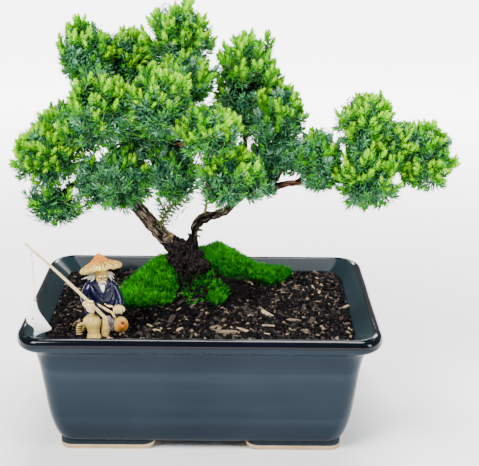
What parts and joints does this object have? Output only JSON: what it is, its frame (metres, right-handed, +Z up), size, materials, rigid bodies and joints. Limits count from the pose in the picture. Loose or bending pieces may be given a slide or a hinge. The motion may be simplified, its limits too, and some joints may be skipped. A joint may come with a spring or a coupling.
{
  "type": "potted juniper bonsai",
  "caption": "Miniature juniper with a leaning trunk, a low right limb and dense needle pads, in an oblong glazed pot with soil, moss and a seated clay fisherman holding a rod with a fish.",
  "frame": {"origin": "middle of the plant's own box, on the ground under the pot's feet", "axes": "+Z up, +X towards the long low limb on the right, -Y towards the front with the fisherman"},
  "size_m": [0.1953, 0.1171, 0.1861],
  "materials": {
    "glazed_clay": "slate blue-black glaze over fired clay, gloss plastic standing in for glazed stoneware",
    "soil": "dark loose bark and loam, matt",
    "moss": "soft living moss",
    "bark": "rough flaking bark",
    "needles": "living needles, matt to satin",
    "blue_glaze": "glossy navy glaze",
    "bare_clay": "unglazed buff clay",
    "orange_clay": "buff clay washed with orange",
    "white_glaze": "white glaze",
    "thread": "white cotton thread",
    "bamboo": "pale split bamboo"
  },
  "bodies": {
    "root": {"arch_twigs": "needles", "back_left_bough": "bark", "back_left_pad": "needles", "back_mid_bough": "bark", "back_mid_pad": "needles", "back_right_bough": "bark", "back_right_pad": "needles", "bough_end_pad": "needles", "bough_low_pad": "needles", "bough_near_pad": "needles", "bough_top_pad": "needles", "centre_bough": "bark", "centre_low_bough": "bark", "centre_low_pad": "needles", "centre_pad": "needles", "fisher_foot": "bare_clay", "fisher_free_hand": "bare_clay", "fisher_hat": "orange_clay", "fisher_head": "bare_clay", "fisher_jug": "bare_clay", "fisher_legs": "bare_clay", "fisher_robe": "blue_glaze", "fisher_rod_hand": "bare_clay", "fishing_line": "thread", "fishing_rod": "bamboo", "fork_twig": "needles", "front_left_bough": "bark", "front_left_pad": "needles", "front_mid_bough": "bark", "front_mid_pad": "needles", "hanging_fish": "white_glaze", "inner_left_pad": "needles", "inner_mid_pad": "needles", "inner_top_pad": "needles", "left_drop": "needles", "left_inner_twigs": "needles", "left_low_bough": "bark", "left_low_pad": "needles", "left_mid_bough": "bark", "left_mid_pad": "needles", "limb_twig": "needles", "moss_front": "moss", "moss_left": "moss", "moss_right": "moss", "outer_top_bough": "bark", "pot": "glazed_clay", "right_bough": "bark", "right_limb": "bark", "right_mid_bough": "bark", "right_mid_pad": "needles", "soil": "soil", "top_pad": "needles", "trunk": "bark", "upper_left_bough": "bark", "upper_left_pad": "needles", "upper_mid_bough": "bark", "upper_mid_pad": "needles", "upper_right_bough": "bark", "upper_right_pad": "needles"}
  },
  "joints": []
}
